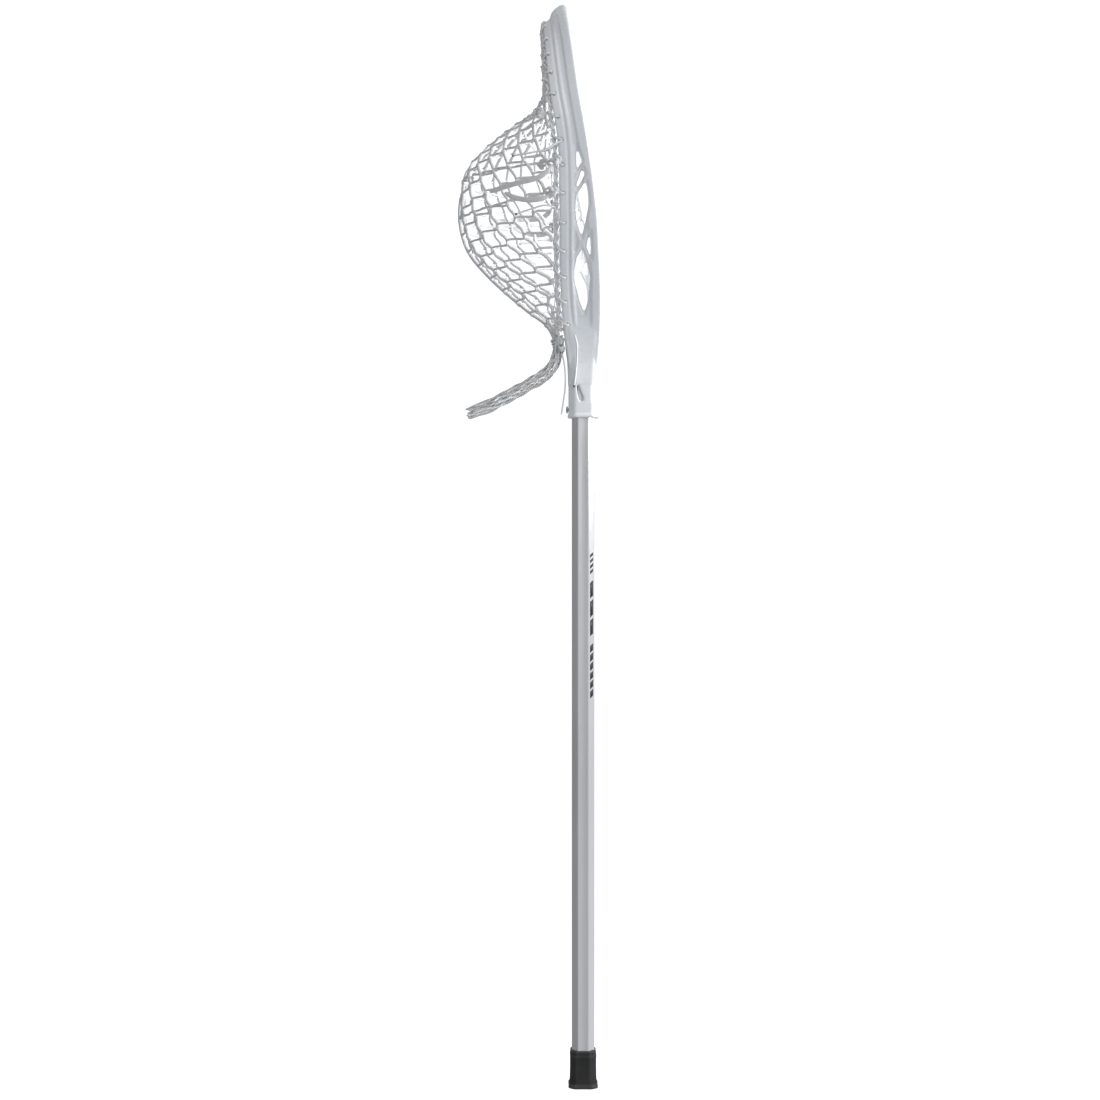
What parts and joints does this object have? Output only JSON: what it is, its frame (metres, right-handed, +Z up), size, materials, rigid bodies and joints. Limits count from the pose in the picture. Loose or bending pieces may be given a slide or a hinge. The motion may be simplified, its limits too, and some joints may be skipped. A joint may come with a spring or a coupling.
{
  "type": "goalie lacrosse stick",
  "caption": "Lacrosse goalie stick: octagonal aluminium shaft, rubber butt cap and a wide moulded head strung with a deep white mesh pocket, laces and cords.",
  "frame": {"origin": "centre of the butt cap's flat base", "axes": "+Z up the shaft to the scoop, +X towards the open face of the head, -X towards the pocket, Y across the head; the head and shaft are mirror images about Y = 0"},
  "size_m": [0.1486, 0.308, 1.1141],
  "materials": {
    "shaft_aluminium": "satin drawn alloy, bare silver",
    "cap_rubber": "matte black",
    "head_plastic": "moulded white nylon, semi-gloss",
    "screw_steel": "plated steel",
    "foam": "soft closed-cell foam, pale grey",
    "mesh_nylon": "knitted white mesh cord",
    "string_nylon": "braided white nylon cord",
    "lace_woven": "flat woven white lace"
  },
  "bodies": {
    "stick": {"shaft": "shaft_aluminium", "head_frame": "head_plastic", "ball_stop": "foam", "pocket_mesh": "mesh_nylon", "mesh_tail": "mesh_nylon", "sidewall_string_right": "string_nylon", "sidewall_string_left": "string_nylon", "top_string": "string_nylon", "throat_string": "string_nylon", "shooting_string_1": "lace_woven", "shooting_string_2": "lace_woven", "shooting_string_3": "lace_woven", "lace_tail_right_2": "lace_woven", "lace_tail_left_2": "lace_woven", "lace_tail_right_3": "lace_woven", "lace_tail_left_3": "lace_woven", "string_tail_right_1": "string_nylon", "string_tail_right_2": "string_nylon", "string_tail_left_1": "string_nylon", "string_tail_left_2": "string_nylon", "string_end_right": "string_nylon", "string_end_left": "string_nylon", "throat_string_end": "string_nylon"},
    "cap": {"end_cap": "cap_rubber"},
    "screw": {"head_screw": "screw_steel"}
  },
  "joints": [
    {"name": "end_cap_pull", "type": "slide", "parent": "stick", "child": "cap", "axis": [0, 0, -1], "range_m": [0, 0.045]},
    {"name": "head_screw_out", "type": "slide", "parent": "stick", "child": "screw", "axis": [-1, 0, 0], "range_m": [0, 0.014]}
  ]
}
